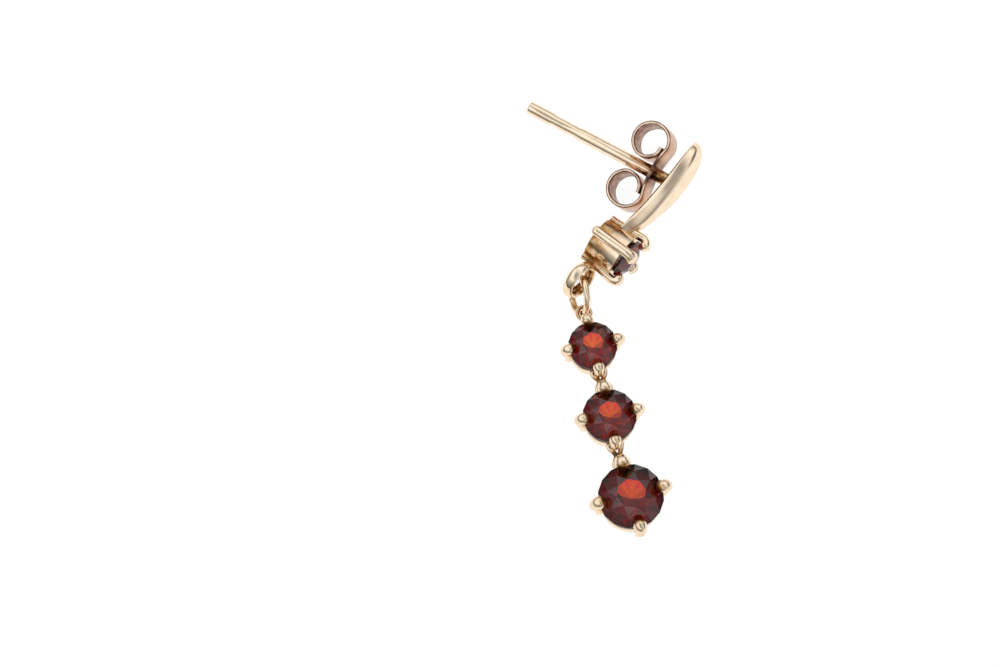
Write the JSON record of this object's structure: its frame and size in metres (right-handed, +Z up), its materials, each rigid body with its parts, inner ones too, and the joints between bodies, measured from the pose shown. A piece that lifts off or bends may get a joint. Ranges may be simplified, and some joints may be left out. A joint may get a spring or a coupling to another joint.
{
  "type": "drop earring",
  "caption": "Stud drop earring, lying: a domed bar with a post and butterfly back, a claw-set round stone below it, and claw-set round stones that grow in size hanging on links.",
  "frame": {"origin": "middle of the bounding box in plan, on the surface that the earring lies on", "axes": "+Y from the largest drop towards the bar, +Z up from the surface, +X from the post's tip towards the bar's front"},
  "size_m": [0.0108, 0.0274, 0.0044],
  "materials": {
    "gold": "polished",
    "clasp_gold": "satin",
    "garnet": "polished"
  },
  "bodies": {
    "earring": {"stud": "gold", "top_stone": "garnet", "jump_ring": "gold", "drop_setting_1": "gold", "drop_stone_1": "garnet", "link_1": "gold", "drop_setting_2": "gold", "drop_stone_2": "garnet", "link_2": "gold", "drop_setting_3": "gold", "drop_stone_3": "garnet"},
    "clasp": {"butterfly_clasp": "clasp_gold"}
  },
  "joints": [
    {"name": "clasp_slide", "type": "slide", "parent": "earring", "child": "clasp", "axis": [-0.8654, 0.4988, -0.0484], "range_m": [0, 0.0095]}
  ]
}
